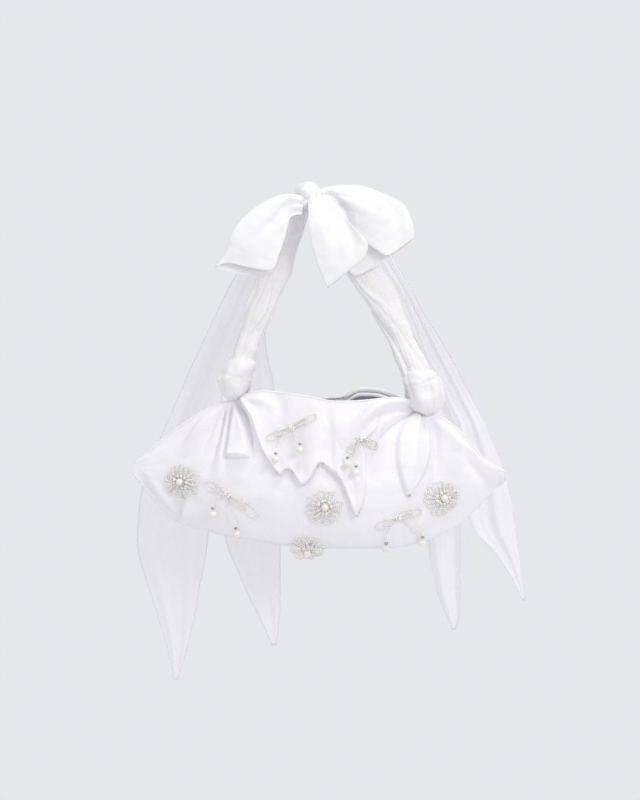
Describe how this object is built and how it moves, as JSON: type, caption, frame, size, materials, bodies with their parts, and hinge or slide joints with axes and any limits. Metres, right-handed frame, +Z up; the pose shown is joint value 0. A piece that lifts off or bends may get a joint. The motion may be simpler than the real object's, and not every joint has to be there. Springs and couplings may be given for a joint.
{
  "type": "flower girl basket",
  "caption": "Soft white satin flower girl basket: knotted pouch with a sash handle tied in a bow, long trailing tails, beaded flowers and bows with pearl drops.",
  "frame": {"origin": "where the fingers lift the handle, just under the knot of the bow", "axes": "+Z up with the basket hanging from the handle, +Y towards its back, +X to the right of someone facing its beaded front"},
  "size_m": [0.2961, 0.0962, 0.3779],
  "materials": {
    "pouch_satin": "satin",
    "sash_satin": "satin",
    "lining_satin": "satin",
    "tail_chiffon": "matte",
    "seed_beads": "gloss",
    "rondelles": "polished",
    "pearls": "gloss"
  },
  "bodies": {
    "handle": {"handle_left_strand": "sash_satin", "handle_right_strand": "sash_satin", "bow_knot": "sash_satin", "bow_left_loop": "sash_satin", "bow_right_loop": "sash_satin", "bow_front_loop": "sash_satin"},
    "pouch": {"front_panel": "pouch_satin", "back_panel": "pouch_satin", "base_panel": "pouch_satin", "lining": "lining_satin", "knot_left": "sash_satin", "knot_right": "sash_satin", "bead_flower_1": "seed_beads", "bead_flower_2": "seed_beads", "bead_flower_3": "seed_beads", "bead_flower_4": "seed_beads", "bead_flower_1_pearl": "pearls", "bead_flower_2_pearl": "pearls", "bead_flower_3_pearl": "pearls", "bead_flower_4_pearl": "pearls", "bead_bow_1": "seed_beads", "bead_bow_2": "seed_beads", "bead_bow_3": "seed_beads", "bead_bow_4": "seed_beads"},
    "tail_outer_left": {"sash_tail_outer_left": "tail_chiffon"},
    "tail_inner_left": {"sash_tail_inner_left": "tail_chiffon"},
    "tail_inner_right": {"sash_tail_inner_right": "tail_chiffon"},
    "tail_outer_right": {"sash_tail_outer_right": "tail_chiffon"},
    "drop_1_left": {"drop_1_left_link": "rondelles", "drop_1_left_pearl": "pearls"},
    "drop_1_right": {"drop_1_right_link": "rondelles", "drop_1_right_pearl": "pearls"},
    "drop_2_left": {"drop_2_left_link": "rondelles", "drop_2_left_pearl": "pearls"},
    "drop_2_right": {"drop_2_right_link": "rondelles", "drop_2_right_pearl": "pearls"},
    "drop_3_left": {"drop_3_left_link": "rondelles", "drop_3_left_pearl": "pearls"},
    "drop_3_right": {"drop_3_right_link": "rondelles", "drop_3_right_pearl": "pearls"},
    "drop_4_left": {"drop_4_left_link": "rondelles", "drop_4_left_pearl": "pearls"},
    "drop_4_right": {"drop_4_right_link": "rondelles", "drop_4_right_pearl": "pearls"}
  },
  "joints": [
    {"name": "pouch_swing", "type": "hinge", "parent": "handle", "child": "pouch", "pos_m": [-0.055, 0, -0.123], "axis": [0.9984, 0, -0.0562], "range_deg": [-60, 8]},
    {"name": "tail_outer_left_swing", "type": "hinge", "parent": "handle", "child": "tail_outer_left", "pos_m": [-0.028, 0.012, -0.016], "axis": [1, 0, 0], "range_deg": [0, 45]},
    {"name": "tail_inner_left_swing", "type": "hinge", "parent": "handle", "child": "tail_inner_left", "pos_m": [-0.01, 0.012, -0.016], "axis": [1, 0, 0], "range_deg": [0, 45]},
    {"name": "tail_inner_right_swing", "type": "hinge", "parent": "handle", "child": "tail_inner_right", "pos_m": [0.022, 0.012, -0.016], "axis": [1, 0, 0], "range_deg": [0, 45]},
    {"name": "tail_outer_right_swing", "type": "hinge", "parent": "handle", "child": "tail_outer_right", "pos_m": [0.047, 0.012, -0.016], "axis": [1, 0, 0], "range_deg": [0, 45]},
    {"name": "drop_1_left_swing", "type": "hinge", "parent": "pouch", "child": "drop_1_left", "pos_m": [-0.02248, -0.03017, -0.17447], "axis": [0.1774, 0.9714, -0.1581], "range_deg": [-30, 30]},
    {"name": "drop_1_right_swing", "type": "hinge", "parent": "pouch", "child": "drop_1_right", "pos_m": [-0.00469, -0.03086, -0.16735], "axis": [0.0819, 0.9757, -0.203], "range_deg": [-30, 30]},
    {"name": "drop_2_left_swing", "type": "hinge", "parent": "pouch", "child": "drop_2_left", "pos_m": [-0.06982, -0.02051, -0.21573], "axis": [0.3456, 0.9252, 0.1568], "range_deg": [-30, 30]},
    {"name": "drop_2_right_swing", "type": "hinge", "parent": "pouch", "child": "drop_2_right", "pos_m": [-0.05261, -0.02378, -0.23053], "axis": [0.2488, 0.9229, 0.2939], "range_deg": [-30, 30]},
    {"name": "drop_3_left_swing", "type": "hinge", "parent": "pouch", "child": "drop_3_left", "pos_m": [0.05936, -0.02395, -0.24183], "axis": [-0.1789, 0.895, 0.4086], "range_deg": [-30, 30]},
    {"name": "drop_3_right_swing", "type": "hinge", "parent": "pouch", "child": "drop_3_right", "pos_m": [0.08692, -0.01426, -0.23792], "axis": [-0.4632, 0.842, 0.2765], "range_deg": [-30, 30]},
    {"name": "drop_4_left_swing", "type": "hinge", "parent": "pouch", "child": "drop_4_left", "pos_m": [0.03028, -0.03276, -0.17749], "axis": [-0.0995, 0.9837, -0.1497], "range_deg": [-8, 30]},
    {"name": "drop_4_right_swing", "type": "hinge", "parent": "pouch", "child": "drop_4_right", "pos_m": [0.03644, -0.0332, -0.18364], "axis": [-0.1381, 0.9853, -0.1009], "range_deg": [-30, 8]}
  ]
}
